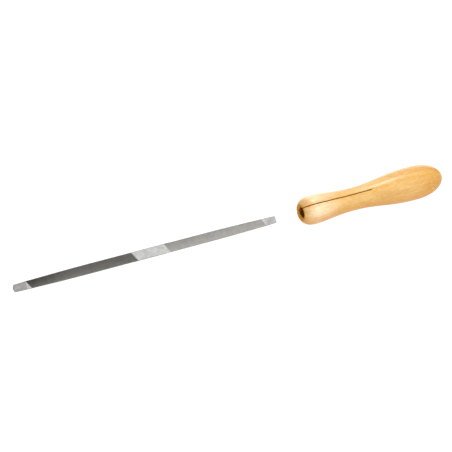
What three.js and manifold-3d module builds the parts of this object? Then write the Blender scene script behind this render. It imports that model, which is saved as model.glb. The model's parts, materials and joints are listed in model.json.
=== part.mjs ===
// A double-ended three-square saw file and its split wooden handle, in millimetres with +Z up.
//
// Both pieces lie on one straight tool axis that starts at the file's free tip and runs through the
// handle. At rest the file is drawn out of the handle. Pushed along the tool axis, either tip of the
// file enters the handle's socket, and the saw kerf lets the two wooden jaws grip it.
import * as THREE from "three";
import { mergeVertices } from "three/addons/utils/BufferGeometryUtils.js";
import Module from "manifold-3d";

// Saw file: an equilateral triangular bar, parallel in the middle and drawn down towards both tips.
const FILE_LENGTH = 200;
const FACE_WIDTH = 7.5; // of the full triangle, before its corners are flattened
const CORNER_FLAT = 0.45; // width of the narrow flat along each of the three edges
const PARALLEL_SHARE = 0.45; // middle part of the length that keeps the full section
const TIP_SHRINK = 0.25; // how much of the section is lost at the very tip
const TAPER_POWER = 1.8; // above 1, so the taper starts gently
const FILE_STEPS = 40;

// Handle: a turned grip with a rounded collar at the mouth, a waist and a full belly.
// Each AT is a distance from the mouth, and each REACH is how far a curve leaves its point before
// it bends.
const HANDLE_LENGTH = 126;
const MOUTH_FACE_RADIUS = 6.6;
const COLLAR_RADIUS = 10.9;
const COLLAR_AT = 13;
const COLLAR_REACH = 5;
const SHOULDER_RADIUS = 11.9; // control point that makes the mouth's shoulder full
const SHOULDER_AT = 2.5;
const WAIST_RADIUS = 8.7;
const WAIST_AT = 43.5;
const WAIST_REACH_TO_MOUTH = 14.5;
const WAIST_REACH_TO_TAIL = 23;
const BELLY_RADIUS = 13.1;
const BELLY_AT = 100.5;
const BELLY_REACH_TO_MOUTH = 27.5;
const BELLY_REACH_TO_TAIL = 20.5;
const TAIL_ROUNDING = 3.5; // control point that rounds the tail off
const COLLAR_POINTS = 10; // straight steps in each stretch of the outline
const WAIST_POINTS = 9;
const BELLY_POINTS = 12;
const TAIL_POINTS = 14;
const HANDLE_SIDES = 48; // a multiple of 4, so the handle's box is its true diameter

// Socket: a slightly tapered round bore that clears the file's corners when the file is home.
const BORE_MOUTH_RADIUS = 4.1;
const BORE_END_RADIUS = 3.45;
const BORE_DEPTH = 54;
const DRILL_POINT_DEPTH = 1.6;
const COUNTERSINK_RADIUS = 5; // where the dished mouth meets the flat mouth face
const COUNTERSINK_DEPTH = 1.1;

// Saw kerf: one straight cut beside the axis, across the upper part of the bore.
const KERF_WIDTH = 0.6;
const KERF_LENGTH = 58.5;
const KERF_OFFSET = 2.4; // from the handle's axis to the middle of the cut
const KERF_ANGLE = THREE.MathUtils.degToRad(36); // the cut rises towards -Y

// Resting place: how far the file's inner tip stands clear of the mouth.
const DRAWN_OUT_GAP = 22;

const MOUTH_AT = FILE_LENGTH + DRAWN_OUT_GAP;
const INSCRIBED_PER_FACE = 1 / (2 * Math.sqrt(3)); // flat face to centre, for a face width of 1

const wasm = await Module();
wasm.setup();

function toSolid(geometry) {
  geometry.deleteAttribute("normal");
  geometry.deleteAttribute("uv");
  const merged = mergeVertices(geometry, 1e-4);
  const corners = Array.from(merged.index.array);
  const triangles = [];
  for (let i = 0; i < corners.length; i += 3) {
    const [a, b, c] = corners.slice(i, i + 3);
    if (a !== b && b !== c && c !== a) {
      triangles.push(a, b, c);
    }
  }
  return new wasm.Manifold(
    new wasm.Mesh({
      numProp: 3,
      vertProperties: new Float32Array(merged.attributes.position.array),
      triVerts: new Uint32Array(triangles),
    }),
  );
}

function toGeometry(solid) {
  const mesh = solid.getMesh();
  const geometry = new THREE.BufferGeometry();
  geometry.setAttribute("position", new THREE.BufferAttribute(mesh.vertProperties, 3));
  geometry.setIndex(new THREE.BufferAttribute(mesh.triVerts, 1));
  return geometry;
}

// Share of the full section that is left at a distance along the file.
function fileScale(along) {
  const fromMiddle = Math.abs((2 * along) / FILE_LENGTH - 1);
  const taper = Math.max(0, (fromMiddle - PARALLEL_SHARE) / (1 - PARALLEL_SHARE));
  return 1 - TIP_SHRINK * taper ** TAPER_POWER;
}

// The section, with one face down and the apex up, and each corner cut off between two points.
// Shape x lies along +Y and shape y along +Z.
function fileSection() {
  const cornerRadius = 2 * FACE_WIDTH * INSCRIBED_PER_FACE;
  const corners = [90, 210, 330].map((degrees) => {
    const angle = THREE.MathUtils.degToRad(degrees);
    return new THREE.Vector2(Math.cos(angle), Math.sin(angle)).multiplyScalar(cornerRadius);
  });
  const points = corners.flatMap((corner, i) => {
    const before = corners[(i + 2) % 3];
    const after = corners[(i + 1) % 3];
    return [before, after].map((other) => corner.clone().lerp(other, CORNER_FLAT / FACE_WIDTH));
  });
  return new THREE.Shape(points);
}

function sawFile() {
  const geometry = new THREE.ExtrudeGeometry(fileSection(), {
    depth: FILE_LENGTH,
    steps: FILE_STEPS,
    bevelEnabled: false,
  });
  const position = geometry.attributes.position;
  for (let i = 0; i < position.count; i += 1) {
    const along = position.getZ(i);
    const scale = fileScale(along);
    position.setXYZ(i, along, position.getX(i) * scale, position.getY(i) * scale);
  }
  const steel = new THREE.MeshStandardMaterial({ color: 0x8f8c86, roughness: 0.4, metalness: 0.9 });
  const mesh = new THREE.Mesh(toGeometry(toSolid(geometry)), steel);
  mesh.name = "saw_file";
  return mesh;
}

// One stretch of the handle's outline, as points of (radius, distance from the mouth).
function stretch(from, fromReach, toReach, to, points) {
  return new THREE.CubicBezierCurve(from, fromReach, toReach, to).getPoints(points).slice(1);
}

function handleOutline() {
  const at = (radius, along) => new THREE.Vector2(radius, along);
  const mouth = at(MOUTH_FACE_RADIUS, 0);
  const collar = at(COLLAR_RADIUS, COLLAR_AT);
  const waist = at(WAIST_RADIUS, WAIST_AT);
  const belly = at(BELLY_RADIUS, BELLY_AT);
  const tail = at(0, HANDLE_LENGTH);
  return [
    mouth,
    ...stretch(
      mouth,
      at(SHOULDER_RADIUS, SHOULDER_AT),
      at(COLLAR_RADIUS, COLLAR_AT - SHOULDER_AT),
      collar,
      COLLAR_POINTS,
    ),
    ...stretch(
      collar,
      at(COLLAR_RADIUS, COLLAR_AT + COLLAR_REACH),
      at(WAIST_RADIUS, WAIST_AT - WAIST_REACH_TO_MOUTH),
      waist,
      WAIST_POINTS,
    ),
    ...stretch(
      waist,
      at(WAIST_RADIUS, WAIST_AT + WAIST_REACH_TO_TAIL),
      at(BELLY_RADIUS, BELLY_AT - BELLY_REACH_TO_MOUTH),
      belly,
      BELLY_POINTS,
    ),
    ...stretch(
      belly,
      at(BELLY_RADIUS, BELLY_AT + BELLY_REACH_TO_TAIL),
      at(TAIL_ROUNDING, HANDLE_LENGTH),
      tail,
      TAIL_POINTS,
    ),
  ];
}

function woodHandle() {
  const socket = [
    new THREE.Vector2(0, BORE_DEPTH + DRILL_POINT_DEPTH),
    new THREE.Vector2(BORE_END_RADIUS, BORE_DEPTH),
    new THREE.Vector2(BORE_MOUTH_RADIUS, COUNTERSINK_DEPTH),
    new THREE.Vector2(COUNTERSINK_RADIUS, 0),
  ];
  const turned = new THREE.LatheGeometry([...socket, ...handleOutline()], HANDLE_SIDES);
  turned.rotateZ(-Math.PI / 2); // the lathe's axis, +Y, becomes the tool axis, +X

  const kerf = new THREE.BoxGeometry(2 * KERF_LENGTH, 4 * BELLY_RADIUS, KERF_WIDTH);
  kerf.translate(0, 0, KERF_OFFSET);
  kerf.rotateX(-KERF_ANGLE);

  const wood = new THREE.MeshStandardMaterial({ color: 0xdfa552, roughness: 0.45, metalness: 0 });
  const mesh = new THREE.Mesh(toGeometry(toSolid(turned).subtract(toSolid(kerf))), wood);
  mesh.name = "wood_handle";
  mesh.position.x = MOUTH_AT;
  return mesh;
}

// The tool axis rises just enough for the file's free tip and the handle's collar to touch the floor.
function restingTilt() {
  const tipDrop = FACE_WIDTH * INSCRIBED_PER_FACE * fileScale(0);
  const rises = handleOutline().map((p) => (p.x - tipDrop) / (MOUTH_AT + p.y));
  return Math.atan(Math.max(...rises));
}

const tool = new THREE.Group();
tool.add(sawFile(), woodHandle());
tool.rotation.y = -restingTilt();

// The origin is the middle of the object's box, on the floor.
const group = new THREE.Group();
group.add(tool);
group.updateMatrixWorld(true);
const box = new THREE.Box3().setFromObject(group, true);
const middle = box.getCenter(new THREE.Vector3());
tool.position.set(-middle.x, -middle.y, -box.min.z);

export default group;
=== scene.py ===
"""A double-ended saw file and its split wooden handle, lying on a pale table in soft studio light."""
import json
import math
import random

import bmesh
import bpy
import numpy as np
from mathutils import Euler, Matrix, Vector


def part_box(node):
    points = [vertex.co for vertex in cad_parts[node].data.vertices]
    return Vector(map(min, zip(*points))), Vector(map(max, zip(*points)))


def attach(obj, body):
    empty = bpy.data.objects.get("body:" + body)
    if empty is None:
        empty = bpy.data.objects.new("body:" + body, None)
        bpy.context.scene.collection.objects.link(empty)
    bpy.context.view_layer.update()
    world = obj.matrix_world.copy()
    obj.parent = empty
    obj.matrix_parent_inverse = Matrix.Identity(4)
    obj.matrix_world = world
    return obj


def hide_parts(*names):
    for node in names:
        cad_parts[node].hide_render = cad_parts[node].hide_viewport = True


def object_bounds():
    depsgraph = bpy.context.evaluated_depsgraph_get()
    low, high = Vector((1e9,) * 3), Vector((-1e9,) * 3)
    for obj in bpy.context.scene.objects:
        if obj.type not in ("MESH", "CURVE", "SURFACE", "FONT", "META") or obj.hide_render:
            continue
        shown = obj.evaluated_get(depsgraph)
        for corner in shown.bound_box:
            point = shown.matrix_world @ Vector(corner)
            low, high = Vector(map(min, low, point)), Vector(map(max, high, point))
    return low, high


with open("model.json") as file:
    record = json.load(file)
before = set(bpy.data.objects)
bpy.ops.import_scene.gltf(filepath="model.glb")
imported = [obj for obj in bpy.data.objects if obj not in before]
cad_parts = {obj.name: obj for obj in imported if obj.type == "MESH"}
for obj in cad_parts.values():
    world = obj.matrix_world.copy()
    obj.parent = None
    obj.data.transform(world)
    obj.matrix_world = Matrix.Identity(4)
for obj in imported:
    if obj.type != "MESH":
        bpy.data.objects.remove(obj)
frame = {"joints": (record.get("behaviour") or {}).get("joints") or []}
cad_low, cad_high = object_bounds()
random.seed(7)

MM = 0.001

# Driving sizes in millimetres, the same as the CAD part's. Each AT is a distance from the mouth.
FILE_LENGTH = 200.0
FACE_WIDTH = 7.5
CORNER_FLAT = 0.45
PARALLEL_SHARE = 0.45
TIP_SHRINK = 0.25
TAPER_POWER = 1.8
HANDLE_LENGTH = 126.0
MOUTH_FACE_RADIUS = 6.6
COLLAR_RADIUS, COLLAR_AT, COLLAR_REACH = 10.9, 13.0, 5.0
SHOULDER_RADIUS, SHOULDER_AT = 11.9, 2.5
WAIST_RADIUS, WAIST_AT = 8.7, 43.5
WAIST_REACH_TO_MOUTH, WAIST_REACH_TO_TAIL = 14.5, 23.0
BELLY_RADIUS, BELLY_AT = 13.1, 100.5
BELLY_REACH_TO_MOUTH, BELLY_REACH_TO_TAIL = 27.5, 20.5
TAIL_ROUNDING = 3.5
BORE_MOUTH_RADIUS, BORE_END_RADIUS = 4.1, 3.45
BORE_DEPTH, DRILL_POINT_DEPTH = 54.0, 1.6
COUNTERSINK_RADIUS, COUNTERSINK_DEPTH = 5.0, 1.1
KERF_WIDTH, KERF_LENGTH, KERF_OFFSET = 0.6, 58.5, 2.4
KERF_ANGLE = math.radians(36)
DRAWN_OUT_GAP = 22.0
MOUTH_AT = FILE_LENGTH + DRAWN_OUT_GAP  # the mouth itself, from the file's free tip

# Cut of the file: single-cut rows, slanted on the face, with each half's teeth towards its own tip.
TIP_UNCUT = 10.5
MIDDLE_UNCUT = 24.4
CUT_BORDER = 0.1  # between the last smooth line and the first tooth
CUT_SLANT = math.tan(math.radians(30))
TOOTH_PITCH = 0.5
TOOTH_DEPTH = 0.183
TOOTH_FRONT = 0.12  # share of the pitch taken by a tooth's steep front
DEPTH_SPREAD = 0.03  # how unequal the teeth's depths are, as a share
CREST_SPREAD = 0.006  # how far a tooth's crest may stay below the face
DEPTH_LOSS = 0.27  # how much of the teeth's depth is lost from one edge of the face to the other
TIP_GROUND = 8.8  # length of the ground facet at each tip
TIP_GROUND_DEPTH = 0.1
TIP_ROW_SPACING = 1.0
MIDDLE_ROW_SPACING = 2
EDGE_BREAK = 0.22  # bevel round each end face
ACROSS_FACE = 6  # strips across a face

# Finish of the handle.
INSET = 0.03  # keeps the finer outline inside the CAD solid's box
COLLAR_STEPS, WAIST_STEPS, BELLY_STEPS, TAIL_STEPS = 30, 34, 44, 44
HANDLE_SIDES = 160
CRISP_EDGE = 32  # degrees from which an edge is shaded crisp
CUTTER_REACH = 20  # half width of the block that cuts the kerf
CUTTER_OVERSHOOT = 5  # how far it stands out of the mouth
SNUG = 0.02  # slack in telling which surface a face of the handle lies on


# ---------------------------------------------------------------- the tool's own frame

ALONG = Vector(frame["joints"][0]["axis"]).normalized()
ACROSS = Vector((0, 1, 0))
UPWARD = ALONG.cross(ACROSS)
BASIS = np.array([ALONG, ACROSS, UPWARD])
TILT = math.atan2(ALONG.z, ALONG.x)


def file_scale(along):
    """Share of the full section that is left at a distance along the file."""
    from_middle = np.abs(2 * np.asarray(along) / FILE_LENGTH - 1)
    taper = np.maximum(0, (from_middle - PARALLEL_SHARE) / (1 - PARALLEL_SHARE))
    return 1 - TIP_SHRINK * taper**TAPER_POWER


INSCRIBED = FACE_WIDTH / (2 * math.sqrt(3))
TAIL_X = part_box("wood_handle")[1].x
ORIGIN = Vector((
    TAIL_X - (MOUTH_AT + HANDLE_LENGTH) * MM * ALONG.x,
    0,
    INSCRIBED * float(file_scale(0)) * MM * ALONG.x,
))


def axis_point(along):
    """The point of the tool axis that is this many millimetres from the file's free tip, in metres."""
    return ORIGIN + ALONG * along * MM


def to_shared_frame(points):
    """Points given as millimetres along, across and up from the free tip, as an array in metres."""
    return np.asarray(points) @ BASIS * MM + np.array(ORIGIN)


def new_piece(name, points, faces, body, node):
    """A mesh piece that rides on a body and stands in for a CAD node."""
    mesh = bpy.data.meshes.new(name)
    mesh.from_pydata(to_shared_frame(points).tolist(), [], faces)
    mesh.validate()
    piece = bpy.data.objects.new(name, mesh)
    bpy.context.scene.collection.objects.link(piece)
    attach(piece, body)
    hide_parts(node)
    return piece


# ---------------------------------------------------------------- the file

CUT, SMOOTH, TIP, END, CORNER = range(5)  # material slots


def half_rows():
    """The cross-lines of one half of a face, from its tip to the middle.

    Each is (distance, height, zone), and the zone is that of the strip up to the next line.
    """
    rows = [(0.0, -TIP_GROUND_DEPTH - EDGE_BREAK, TIP), (EDGE_BREAK, -TIP_GROUND_DEPTH, TIP)]
    for distance in np.arange(TIP_ROW_SPACING, TIP_GROUND, TIP_ROW_SPACING):
        rows.append((distance, -TIP_GROUND_DEPTH * (1 - distance / TIP_GROUND), TIP))
    rows.append((TIP_GROUND, 0.0, SMOOTH))
    rows.append((TIP_UNCUT - CUT_BORDER, 0.0, CUT))
    cut_end = (FILE_LENGTH - MIDDLE_UNCUT) / 2
    count = round((cut_end - TIP_UNCUT) / TOOTH_PITCH)
    pitch = (cut_end - TIP_UNCUT) / count
    for tooth in range(count):
        start = TIP_UNCUT + tooth * pitch
        depth = TOOTH_DEPTH * random.uniform(1 - DEPTH_SPREAD, 1 + DEPTH_SPREAD)
        rows.append((start, -depth, CUT))
        rows.append((start + TOOTH_FRONT * pitch, random.uniform(-CREST_SPREAD, 0), CUT))
    rows.append((cut_end, 0.0, SMOOTH))
    smooth = np.arange(cut_end + MIDDLE_ROW_SPACING, FILE_LENGTH / 2 - 1, MIDDLE_ROW_SPACING)
    rows += [(distance, 0.0, SMOOTH) for distance in smooth]
    return rows


def file_rows():
    """The cross-lines of a whole face. The far half mirrors the near one, so its teeth turn round."""
    near = half_rows()
    far = [(FILE_LENGTH - d, h, near[max(i - 1, 0)][2]) for i, (d, h, _) in enumerate(near)]
    far.reverse()
    middle = [(FILE_LENGTH / 2, 0.0, SMOOTH)]
    return near + middle + far


def join_corner(left_index, left_at, right_index, right_at):
    """Triangles that join two neighbouring faces' edges, whose lines lie at different distances."""
    faces = []
    a = b = 0
    last = len(left_index) - 1
    while a < last or b < last:
        if b == last or (a < last and left_at[a + 1] <= right_at[b + 1]):
            faces.append((left_index[a], right_index[b], left_index[a + 1]))
            a += 1
        else:
            faces.append((left_index[a], right_index[b], right_index[b + 1]))
            b += 1
    return faces


def saw_file():
    """The steel bar: three toothed faces, a strip along each corner and the two end faces."""
    rows = file_rows()
    distance = np.array([row[0] for row in rows])
    height = np.array([row[1] for row in rows])
    zone = [row[2] for row in rows]
    to_end = np.minimum(distance, FILE_LENGTH - distance)
    slant = np.clip((to_end - TIP_GROUND) / (TIP_UNCUT - TIP_GROUND - CUT_BORDER), 0, 1) * CUT_SLANT
    steps = np.linspace(-1, 1, ACROSS_FACE + 1)
    half_width = FACE_WIDTH / 2 - CORNER_FLAT
    edge_break = np.clip(1 - to_end / EDGE_BREAK, 0, 1) * EDGE_BREAK

    points, faces, zones, borders = [], [], [], []
    per_face = len(rows) * len(steps)
    for side, degrees in enumerate((-90, 30, 150)):
        angle = math.radians(degrees)
        outward = np.array([0, math.cos(angle), math.sin(angle)])
        sideways = np.array([0, -math.sin(angle), math.cos(angle)])
        v = (half_width * file_scale(distance) - edge_break)[:, None] * steps[None, :]
        u = distance[:, None] + slant[:, None] * v
        scale = file_scale(u)
        v = v * scale / file_scale(distance)[:, None]
        out = INSCRIBED * scale + height[:, None] * (1 - DEPTH_LOSS * (1 + steps[None, :]) / 2)
        grid = (
            u[..., None] * np.array([1, 0, 0])
            + out[..., None] * outward
            + v[..., None] * sideways
        )
        points.append(grid.reshape(-1, 3))
        index = side * per_face + np.arange(per_face).reshape(len(rows), len(steps))
        for i in range(len(rows) - 1):
            for j in range(len(steps) - 1):
                faces.append((index[i, j], index[i, j + 1], index[i + 1, j + 1], index[i + 1, j]))
                zones.append(zone[i])
        borders.append((index, u))

    for side in range(3):
        (index, u), (next_index, next_u) = borders[side], borders[(side + 1) % 3]
        strip = join_corner(index[:, -1], u[:, -1], next_index[:, 0], next_u[:, 0])
        faces += strip
        zones += [CORNER] * len(strip)

    start_loop = [i for index, _ in borders for i in index[0]]
    end_loop = [i for index, _ in borders for i in index[-1]]
    faces += [start_loop[::-1], end_loop]
    zones += [END, END]
    faces = [tuple(int(i) for i in face) for face in faces]
    piece = new_piece("saw_file_blade", np.concatenate(points), faces, "file", "saw_file")
    piece.data.polygons.foreach_set("material_index", zones)
    return piece


# ---------------------------------------------------------------- the handle

WOOD, MOUTH_WOOD, BORE_WOOD, KERF_WOOD = range(4)  # material slots


def bezier(p0, p1, p2, p3, count):
    """Points of a cubic curve, without its first one."""
    t = np.linspace(0, 1, count + 1)[1:, None]
    p0, p1, p2, p3 = (np.array(p) for p in (p0, p1, p2, p3))
    return (1 - t) ** 3 * p0 + 3 * (1 - t) ** 2 * t * p1 + 3 * (1 - t) * t**2 * p2 + t**3 * p3


def handle_outline():
    """(radius, distance from the mouth) along the outside, from the mouth face to the tail.

    It is drawn a hair inside the CAD solid, whose box it would otherwise pass by its finer steps.
    """
    mouth = (MOUTH_FACE_RADIUS, 0)
    collar = (COLLAR_RADIUS, COLLAR_AT)
    waist = (WAIST_RADIUS, WAIST_AT)
    belly = (BELLY_RADIUS, BELLY_AT)
    tail = (0, HANDLE_LENGTH)
    outline = np.concatenate([
        [mouth],
        bezier(mouth, (SHOULDER_RADIUS, SHOULDER_AT),
               (COLLAR_RADIUS, COLLAR_AT - SHOULDER_AT), collar, COLLAR_STEPS),
        bezier(collar, (COLLAR_RADIUS, COLLAR_AT + COLLAR_REACH),
               (WAIST_RADIUS, WAIST_AT - WAIST_REACH_TO_MOUTH), waist, WAIST_STEPS),
        bezier(waist, (WAIST_RADIUS, WAIST_AT + WAIST_REACH_TO_TAIL),
               (BELLY_RADIUS, BELLY_AT - BELLY_REACH_TO_MOUTH), belly, BELLY_STEPS),
        bezier(belly, (BELLY_RADIUS, BELLY_AT + BELLY_REACH_TO_TAIL),
               (TAIL_ROUNDING, HANDLE_LENGTH), tail, TAIL_STEPS),
    ])
    outline[:, 0] = np.maximum(outline[:, 0] - INSET, 0)
    outline[:, 1] *= 1 - INSET / HANDLE_LENGTH
    return outline


def turned(profile, sides):
    """Points and faces of a profile turned about the tool axis. The profile starts and ends on it."""
    angles = np.linspace(0, 2 * math.pi, sides, endpoint=False)
    points = [(profile[0][1], 0, 0)]
    for radius, along in profile[1:-1]:
        points += [(along, radius * math.cos(a), radius * math.sin(a)) for a in angles]
    points.append((profile[-1][1], 0, 0))
    rings = len(profile) - 2
    first, last = 0, len(points) - 1
    faces = []
    for s in range(sides):
        t = (s + 1) % sides
        faces.append((first, 1 + t, 1 + s))
        for r in range(rings - 1):
            a, b = 1 + r * sides, 1 + (r + 1) * sides
            faces.append((a + s, a + t, b + t, b + s))
        a = 1 + (rings - 1) * sides
        faces.append((a + s, a + t, last))
    return np.array(points), faces


def wood_handle():
    """The turned body with its blind socket, and then the kerf sawn through it."""
    socket = np.array([
        (0, BORE_DEPTH + DRILL_POINT_DEPTH),
        (BORE_END_RADIUS, BORE_DEPTH),
        (BORE_MOUTH_RADIUS, COUNTERSINK_DEPTH),
        (COUNTERSINK_RADIUS, 0),
    ])
    points, faces = turned(np.concatenate([socket, handle_outline()]), HANDLE_SIDES)
    points[:, 0] += MOUTH_AT
    piece = new_piece("turned_handle", points, faces, "handle", "wood_handle")
    cut_kerf(piece)
    mark_handle_zones(piece)
    shade_smooth(piece, CRISP_EDGE)
    return piece


def kerf_normal():
    """The direction across the kerf, in the tool's frame."""
    return np.array([0, math.sin(KERF_ANGLE), math.cos(KERF_ANGLE)])


def cut_kerf(piece):
    """Saws the kerf with a thin block that stands out of the mouth."""
    mesh = bpy.data.meshes.new("kerf_cutter")
    normal = kerf_normal()
    sideways = np.array([0, math.cos(KERF_ANGLE), -math.sin(KERF_ANGLE)])
    corners = []
    for along in (MOUTH_AT - CUTTER_OVERSHOOT, MOUTH_AT + KERF_LENGTH):
        for side in (-CUTTER_REACH, CUTTER_REACH):
            for height in (KERF_OFFSET - KERF_WIDTH / 2, KERF_OFFSET + KERF_WIDTH / 2):
                corners.append(np.array([along, 0, 0]) + side * sideways + height * normal)
    faces = [(0, 1, 3, 2), (4, 6, 7, 5), (0, 4, 5, 1), (2, 3, 7, 6), (0, 2, 6, 4), (1, 5, 7, 3)]
    mesh.from_pydata(to_shared_frame(corners).tolist(), [], faces)
    bm = bmesh.new()
    bm.from_mesh(mesh)
    bmesh.ops.recalc_face_normals(bm, faces=bm.faces)
    bm.to_mesh(mesh)
    bm.free()
    cutter = bpy.data.objects.new("kerf_cutter", mesh)
    bpy.context.scene.collection.objects.link(cutter)
    cut = piece.modifiers.new("kerf", "BOOLEAN")
    cut.operation = "DIFFERENCE"
    cut.solver = "EXACT"
    cut.object = cutter
    bpy.context.view_layer.update()
    evaluated = piece.evaluated_get(bpy.context.evaluated_depsgraph_get())
    piece.data = bpy.data.meshes.new_from_object(evaluated)
    piece.modifiers.clear()
    bpy.data.objects.remove(cutter)


def mark_handle_zones(piece):
    """Gives each face the material slot of the place that it is in."""
    normal = kerf_normal()
    for polygon in piece.data.polygons:
        centre = BASIS @ ((np.array(polygon.center) - np.array(ORIGIN)) / MM)
        facing = BASIS @ np.array(polygon.normal)
        along = centre[0] - MOUTH_AT
        radius = math.hypot(centre[1], centre[2])
        off_wall = abs(centre @ normal - KERF_OFFSET) - KERF_WIDTH / 2
        on_kerf_wall = abs(facing @ normal) > 0.999 and abs(off_wall) < SNUG
        at_kerf_end = facing[0] < -0.99 and abs(along - KERF_LENGTH) < SNUG
        in_mouth = along < COUNTERSINK_DEPTH - SNUG and radius < MOUTH_FACE_RADIUS
        if on_kerf_wall or at_kerf_end:
            polygon.material_index = KERF_WOOD
        elif in_mouth and facing[0] < -0.5:
            polygon.material_index = MOUTH_WOOD
        elif along < BORE_DEPTH + DRILL_POINT_DEPTH and radius < COUNTERSINK_RADIUS:
            polygon.material_index = BORE_WOOD
        else:
            polygon.material_index = WOOD


def shade_smooth(piece, degrees):
    """Smooth shading, with edges sharper than this kept crisp."""
    bm = bmesh.new()
    bm.from_mesh(piece.data)
    for face in bm.faces:
        face.smooth = True
    for edge in bm.edges:
        edge.smooth = len(edge.link_faces) == 2 and edge.calc_face_angle(0) < math.radians(degrees)
    bm.to_mesh(piece.data)
    bm.free()


# ---------------------------------------------------------------- materials


class Nodes:
    """A short way to wire a material's nodes."""

    def __init__(self, name):
        self.material = bpy.data.materials.new(name)
        self.material.use_nodes = True
        self.tree = self.material.node_tree
        self.tree.nodes.clear()
        self.output = self.tree.nodes.new("ShaderNodeOutputMaterial")
        self.shader = self.tree.nodes.new("ShaderNodeBsdfPrincipled")
        self.link(self.shader.outputs[0], self.output.inputs["Surface"])

    def link(self, source, target):
        self.tree.links.new(source, target)

    def add(self, kind, inputs=None, **settings):
        node = self.tree.nodes.new(kind)
        for key, value in settings.items():
            setattr(node, key, value)
        for key, value in (inputs or {}).items():
            if isinstance(value, bpy.types.NodeSocket):
                self.link(value, node.inputs[key])
            else:
                node.inputs[key].default_value = value
        return node

    def coordinates(self, along, scale):
        """The tool's coordinates in millimetres from a point on the axis, stretched by scale."""
        texture = self.add("ShaderNodeTexCoord")
        placed = self.add("ShaderNodeMapping", {
            "Vector": texture.outputs["Object"], "Location": axis_point(along),
            "Rotation": (0, -TILT, 0), "Scale": (MM, MM, MM),
        }, vector_type="TEXTURE")
        stretched = self.add("ShaderNodeMapping", {"Vector": placed.outputs[0], "Scale": scale})
        return stretched.outputs[0]

    def noise(self, vector, scale, detail=3.0, roughness=0.5, distortion=0.0):
        node = self.add("ShaderNodeTexNoise", {
            "Vector": vector, "Scale": scale, "Detail": detail,
            "Roughness": roughness, "Distortion": distortion,
        })
        return node.outputs["Fac"]

    def remap(self, value, low, high, to_low=0.0, to_high=1.0):
        node = self.add("ShaderNodeMapRange", {
            "Value": value, "From Min": low, "From Max": high, "To Min": to_low, "To Max": to_high,
        })
        return node.outputs[0]

    def mix(self, factor, first, second):
        """Blends from the first colour to the second. Either is a socket or three plain numbers."""
        colours = [c if isinstance(c, bpy.types.NodeSocket) else (*c, 1) for c in (first, second)]
        inputs = {0: factor, 6: colours[0], 7: colours[1]}
        return self.add("ShaderNodeMix", inputs, data_type="RGBA").outputs[2]

    def calculate(self, operation, *values):
        return self.add("ShaderNodeMath", dict(enumerate(values)), operation=operation).outputs[0]

    def multiply(self, value, factor):
        return self.calculate("MULTIPLY", value, factor)

    def plus(self, first, second):
        return self.calculate("ADD", first, second)

    def along(self, place):
        """The distance along the tool axis, from unstretched coordinates."""
        return self.add("ShaderNodeSeparateXYZ", {0: place}).outputs[0]

    def dot(self, vector, direction):
        """How far a vector reaches along a fixed direction."""
        inputs = {0: vector, 1: tuple(direction)}
        return self.add("ShaderNodeVectorMath", inputs, operation="DOT_PRODUCT").outputs["Value"]

    def bump(self, height, depth):
        """Relief of the surface, with its full depth in millimetres."""
        node = self.add("ShaderNodeBump", {"Height": height, "Distance": depth * MM, "Strength": 1.0})
        self.drive("Normal", node.outputs[0])

    def drive(self, name, source):
        """Lets a texture drive one of the shader's inputs."""
        self.link(source, self.shader.inputs[name])

    def set(self, name, value):
        """Sets one of the shader's inputs to a plain value, the same all over the surface."""
        self.shader.inputs[name].default_value = value


# Painted shade on the file's steel, darkest at the free tip, with distances from the free tip.
TIP_SHADE_COLOUR = (0.05, 0.046, 0.04)
TIP_SHADE_FULL_AT, TIP_SHADE_GONE_AT = 10.0, 42.0


def steel(name, dark, light, rough, streaks, relief, clouds=0.6, wear=0.08, tip_shade=0.0):
    """Bare steel with fine ground streaks, cloudy tone, uneven gloss and painted shade near the free
    tip.

    Streaks is how the texture of the streaks is stretched, clouds is the share of the tone that
    isn't streaks, and wear is how far the roughness goes either way.
    """
    n = Nodes(name)
    n.set("Metallic", 1.0)
    place = n.coordinates(0, (1, 1, 1))
    cloud = n.noise(place, 0.35, 5.0, 0.6)
    streak = n.noise(n.coordinates(0, streaks), 1.0, 3.0, 0.7)
    tone = n.plus(n.multiply(cloud, clouds), n.multiply(streak, 1 - clouds))
    colour = n.mix(n.remap(tone, 0.35, 0.65), dark, light)
    # Painted shade: the colour darkens towards the free tip, standing in for shade between the teeth.
    if tip_shade:
        colour = n.mix(n.remap(n.along(place), TIP_SHADE_FULL_AT, TIP_SHADE_GONE_AT, tip_shade, 0.0), colour, TIP_SHADE_COLOUR)
    n.drive("Base Color", colour)
    n.drive("Roughness", n.remap(tone, 0.3, 0.7, rough + wear, rough - wear))
    n.bump(streak, relief)
    return n.material


# Tones of the wood, with distances from the mouth. Each SHARE is how much of the tone is reached.
WOOD_DARK, WOOD_LIGHT = (0.54, 0.266, 0.041), (0.655, 0.404, 0.132)
# The pale mouth tone is partly paler wood and partly a painted highlight on the collar.
MOUTH_PALE_AND_HIGHLIGHT, MOUTH_PALE_AND_HIGHLIGHT_SHARE = (0.83, 0.66, 0.45), 0.7
MOUTH_PALE_AND_HIGHLIGHT_FULL_AT, MOUTH_PALE_AND_HIGHLIGHT_GONE_AT = 8.0, 32.0
RIM_FULL_AT, RIM_GONE_AT = -1.0, 9.0
RIM_SHARE = 0.1  # how much of the mouth's pale tone and painted highlight is left at its rim
DEEP_TAIL, DEEP_TAIL_SHARE = (0.50, 0.21, 0.005), 0.82
DEEP_TAIL_FROM, DEEP_TAIL_FULL_AT = 90.0, 120.0
PALE_FLECK, PALE_FLECK_SHARE = (0.80, 0.58, 0.28), 0.32
DEEP_FLECK, DEEP_FLECK_SHARE = (0.48, 0.20, 0.03), 0.4
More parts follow.
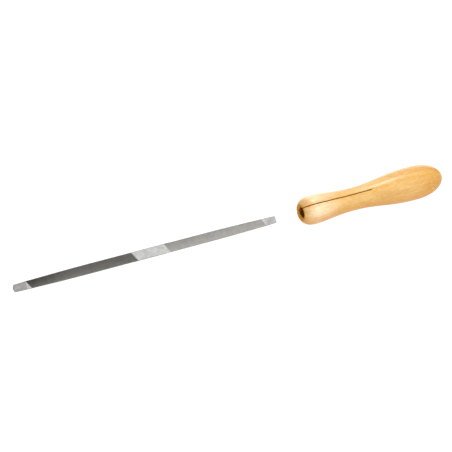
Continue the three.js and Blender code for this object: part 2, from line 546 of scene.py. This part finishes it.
# Painted shade: a deeper tone on the lower front side of the handle, fading out near the tail.
LOWER_SIDE_SHADE_COLOUR, LOWER_SIDE_SHADE_SHARE = (0.56, 0.22, 0.02), 0.7
SHADED_SIDE = (0, -0.44, -0.9)  # the lower front side of the handle, which painted shade darkens
LOWER_SIDE_SHADE_FADES_FROM, LOWER_SIDE_SHADE_GONE_AT = 90.0, 115.0
# Painted shade along both lips of the saw kerf, widening its dark line.
KERF_SHADE_COLOUR, KERF_SHADE_SHARE = (0.44, 0.135, 0.005), 0.7
KERF_SHADE_REACH = 0.75  # from the middle of the kerf
KERF_SHADE_FADE = 1.0  # past the end of the kerf

# How light spreads inside bare wood: the reach in red, green and blue, and its scale in metres.
SOAK_RADIUS, SOAK_SCALE = (1.0, 0.8, 0.5), 0.0012


def kerf_shade(n, place, fibres):
    """How much painted shade darkens the wood beside the saw kerf, widening its dark line."""
    distance = n.calculate("ABSOLUTE", n.calculate("SUBTRACT", n.dot(place, kerf_normal()), KERF_OFFSET))
    ragged = n.plus(distance, n.remap(fibres, 0.35, 0.65, -0.2, 0.2))
    kerf_dark = n.remap(ragged, KERF_WIDTH / 2, KERF_SHADE_REACH, KERF_SHADE_SHARE, 0.0)
    beside = n.remap(n.along(place), KERF_LENGTH, KERF_LENGTH + KERF_SHADE_FADE, 1.0, 0.0)
    return n.multiply(kerf_dark, beside)


def lower_side_shade(n, along, bands):
    """How much painted shade darkens the lower front side of the handle, with streaked edges."""
    around = n.coordinates(MOUTH_AT, (0, 1, 1))
    outward = n.add("ShaderNodeVectorMath", {0: around}, operation="NORMALIZE").outputs[0]
    side = n.plus(n.dot(outward, SHADED_SIDE), n.remap(bands, 0.3, 0.7, -0.08, 0.08))
    fade = n.remap(along, LOWER_SIDE_SHADE_FADES_FROM, LOWER_SIDE_SHADE_GONE_AT, 1.0, 0.0)
    return n.multiply(n.remap(side, 0.5, 1.0, 0.0, LOWER_SIDE_SHADE_SHARE), fade)


def varnished_wood():
    """Hardwood under clear varnish: paler near the mouth, partly as a painted highlight, deeper at the
    tail, with painted shade on its lower front side and beside the kerf.
    """
    n = Nodes("varnished_wood")
    n.set("Specular IOR Level", 0.05)
    n.set("Coat Weight", 0.5)
    n.set("Coat Roughness", 0.29)
    n.set("Coat IOR", 1.6)

    place = n.coordinates(MOUTH_AT, (1, 1, 1))
    along = n.along(place)
    broad = n.noise(n.coordinates(MOUTH_AT, (0.4, 1, 1)), 0.075, 3.0, 0.5, 0.3)
    bands = n.noise(n.coordinates(MOUTH_AT, (0.02, 0.28, 0.28)), 1.0, 2.0, 0.5, 0.6)
    fibres = n.noise(n.coordinates(MOUTH_AT, (0.07, 1.1, 1.1)), 1.0, 5.0, 0.7, 0.2)
    flecks = n.noise(n.coordinates(MOUTH_AT, (0.25, 1.9, 1.9)), 1.0, 2.0, 0.5)

    tone = n.plus(n.multiply(broad, 0.4), n.plus(n.multiply(bands, 0.3), n.multiply(fibres, 0.3)))
    colour = n.mix(n.remap(tone, 0.38, 0.62), WOOD_DARK, WOOD_LIGHT)

    # Paler near the mouth: lighter wood plus a painted highlight on the collar, with less of both at the
    # rim.
    mouth_pale_and_highlight = n.remap(along, MOUTH_PALE_AND_HIGHLIGHT_GONE_AT, MOUTH_PALE_AND_HIGHLIGHT_FULL_AT, 0.0, MOUTH_PALE_AND_HIGHLIGHT_SHARE)
    mouth_pale_and_highlight = n.multiply(mouth_pale_and_highlight, n.remap(bands, 0.41, 0.59, 0.55, 1.3))
    mouth_pale_and_highlight = n.multiply(mouth_pale_and_highlight, n.remap(along, RIM_FULL_AT, RIM_GONE_AT, RIM_SHARE, 1.0))
    colour = n.mix(mouth_pale_and_highlight, colour, MOUTH_PALE_AND_HIGHLIGHT)

    near_tail = n.remap(along, DEEP_TAIL_FROM, DEEP_TAIL_FULL_AT, 0.0, DEEP_TAIL_SHARE)
    near_tail = n.plus(near_tail, n.remap(broad, 0.4, 0.6, 0.15, -0.15))
    colour = n.mix(near_tail, colour, DEEP_TAIL)

    colour = n.mix(n.remap(flecks, 0.52, 0.68, 0.0, PALE_FLECK_SHARE), colour, PALE_FLECK)
    colour = n.mix(n.remap(flecks, 0.46, 0.3, 0.0, DEEP_FLECK_SHARE), colour, DEEP_FLECK)
    # Painted shade on the lower front side of the handle.
    colour = n.mix(lower_side_shade(n, along, bands), colour, LOWER_SIDE_SHADE_COLOUR)
    # Painted shade beside the saw kerf.
    colour = n.mix(kerf_shade(n, place, fibres), colour, KERF_SHADE_COLOUR)

    n.drive("Base Color", colour)
    n.drive("Roughness", n.remap(fibres, 0.3, 0.7, 0.42, 0.56))
    n.bump(n.plus(fibres, n.multiply(flecks, 0.4)), 0.04)
    return n.material


def bare_wood(name, dark, light, rough, gloss=0.0, glow=0.0):
    """Cut wood: the mouth's end grain, the drilled socket and the sawn kerf.

    Glow is the share of light that soaks in through the nearby surface and leaves reddened.
    """
    n = Nodes(name)
    n.set("Specular IOR Level", gloss)
    n.set("Subsurface Weight", glow)
    n.set("Subsurface Radius", SOAK_RADIUS)
    n.set("Subsurface Scale", SOAK_SCALE)
    pores = n.noise(n.coordinates(MOUTH_AT, (0.5, 1, 1)), 1.1, 4.0, 0.6)
    n.drive("Base Color", n.mix(n.remap(pores, 0.35, 0.65), dark, light))
    n.drive("Roughness", n.remap(pores, 0.3, 0.7, rough - 0.06, rough + 0.06))
    n.bump(pores, 0.08)
    return n.material


def paint(piece, materials):
    """Puts the materials in the piece's slots, in their order. Its faces keep their slots."""
    indices = [polygon.material_index for polygon in piece.data.polygons]
    piece.data.materials.clear()
    for material in materials:
        piece.data.materials.append(material)
    piece.data.polygons.foreach_set("material_index", indices)


# ---------------------------------------------------------------- building the object

blade = saw_file()
# Cut, smooth and ground tip steel take painted shade near the free tip, the cuts most.
paint(blade, [
    steel("cut_steel", (0.198, 0.191, 0.179), (0.243, 0.236, 0.222), rough=0.32, wear=0.03,
          streaks=(0.1, 1.2, 1.2), relief=0.004, clouds=0.5, tip_shade=0.6),
    steel("smooth_steel", (0.25, 0.25, 0.24), (0.335, 0.34, 0.33), rough=0.34,
          streaks=(0.25, 2.5, 2.5), relief=0.008, tip_shade=0.15),
    steel("ground_tip_steel", (0.22, 0.214, 0.206), (0.315, 0.309, 0.30), rough=0.36,
          streaks=(0.08, 4, 4), relief=0.02, tip_shade=0.37),
    steel("tip_end_steel", (0.24, 0.23, 0.22), (0.36, 0.35, 0.34), rough=0.5,
          streaks=(1, 3, 3), relief=0.02),
    steel("corner_steel", (0.10, 0.09, 0.08), (0.19, 0.175, 0.16), rough=0.5,
          streaks=(0.3, 2, 2), relief=0.02),
])
handle = wood_handle()
paint(handle, [
    varnished_wood(),
    bare_wood("mouth_end_grain", (0.40, 0.145, 0.018), (0.68, 0.31, 0.045), rough=0.6, gloss=0.05),
    # The drilled socket's dark brown is painted shade inside the hole.
    bare_wood("drilled_socket", (0.12, 0.035, 0.008), (0.26, 0.09, 0.02), rough=0.8),
    bare_wood("sawn_kerf", (0.62, 0.25, 0.035), (0.72, 0.34, 0.055), rough=0.8, glow=0.9),
])


# ---------------------------------------------------------------- table, light and camera

FLOOR_HALVES = (1.0, 3.0, 9.0, 30.0)  # nested squares, finer near the object
FLOOR_DROP = 0.0002  # keeps the floor just clear of the resting pieces
WORLD_STRENGTH = 0.27

# Softboxes: name, azimuth, elevation and distance, then width and height, and radiance.
SOFTBOXES = (
    ("back_light", 150, 48, 1.4, (0.8, 0.6), 2.6),
    ("high_light", 106, 72, 1.4, (0.42, 0.34), 22.0),
    ("top_light", -110, 78, 1.4, (0.5, 0.4), 5.0),
    ("left_fill", -88, 18, 1.4, (1.0, 0.8), 1.5),
    ("back_panel", 160, 14, 1.8, (2.4, 1.0), 1.9),
    ("right_fill", 87, 24, 1.4, (0.7, 0.7), 0.9),
    ("front_light", 10, 26, 1.3, (2.18, 1.3), 1.98),
)

CAMERA_AZIMUTH, CAMERA_ELEVATION, CAMERA_ROLL = -26.48, 25.94, -0.2
CAMERA_DISTANCE = 0.8506
CAMERA_AIM = Vector((-0.01207, 0.00442, -0.00294))  # from the middle of the object's box
CAMERA_LENS, CAMERA_SENSOR = 93.3, 36


def floor():
    """A pale table that is lit from within, so it stays white out to its far edge."""
    mesh = bpy.data.meshes.new("table")
    square = ((-1, -1), (1, -1), (1, 1), (-1, 1))
    corners = [(half * x, half * y, -FLOOR_DROP) for half in FLOOR_HALVES for x, y in square]
    faces = [(0, 1, 2, 3)]
    for ring in range(1, len(FLOOR_HALVES)):
        outer, inner = 4 * ring, 4 * ring - 4
        for i in range(4):
            j = (i + 1) % 4
            faces.append((outer + i, outer + j, inner + j, inner + i))
    mesh.from_pydata(corners, [], faces)
    table = bpy.data.objects.new("table", mesh)
    bpy.context.scene.collection.objects.link(table)
    n = Nodes("pale_table")
    n.set("Base Color", (0.06, 0.06, 0.06, 1))
    n.set("Roughness", 0.9)
    n.set("Emission Color", (1, 1, 1, 1))
    n.set("Emission Strength", 1.0)
    mesh.materials.append(n.material)


def sky(strength):
    """An even white world."""
    world = bpy.data.worlds.new("studio")
    bpy.context.scene.world = world
    world.use_nodes = True
    background = world.node_tree.nodes["Background"]
    background.inputs["Color"].default_value = (1, 1, 1, 1)
    background.inputs["Strength"].default_value = strength


def place_facing(name, data, azimuth, elevation, distance, target=Vector(), roll=0.0):
    """Places a light or a camera by its angles in degrees, and turns it to face the target."""
    item = bpy.data.objects.new(name, data)
    bpy.context.scene.collection.objects.link(item)
    a, e = math.radians(azimuth), math.radians(elevation)
    back = Vector((math.sin(a) * math.cos(e), -math.cos(a) * math.cos(e), math.sin(e)))
    item.location = target + back * distance
    item.rotation_mode = "QUATERNION"
    turn = Euler((0, 0, math.radians(roll))).to_quaternion()
    item.rotation_quaternion = back.to_track_quat("Z", "Y") @ turn
    return item


def softbox(name, azimuth, elevation, distance, size, radiance):
    """A rectangular area light that faces the object."""
    light = bpy.data.lights.new(name, "AREA")
    light.shape = "RECTANGLE"
    light.size, light.size_y = size
    light.energy = radiance * math.pi * size[0] * size[1]
    place_facing(name, light, azimuth, elevation, distance)


floor()
sky(WORLD_STRENGTH)
for box in SOFTBOXES:
    softbox(*box)
bpy.context.scene.view_settings.view_transform = "Standard"

camera_data = bpy.data.cameras.new("camera")
camera_data.lens = CAMERA_LENS
camera_data.sensor_width = CAMERA_SENSOR
bpy.context.scene.camera = place_facing(
    "camera", camera_data, CAMERA_AZIMUTH, CAMERA_ELEVATION, CAMERA_DISTANCE,
    target=(cad_low + cad_high) / 2 + CAMERA_AIM, roll=CAMERA_ROLL,
)
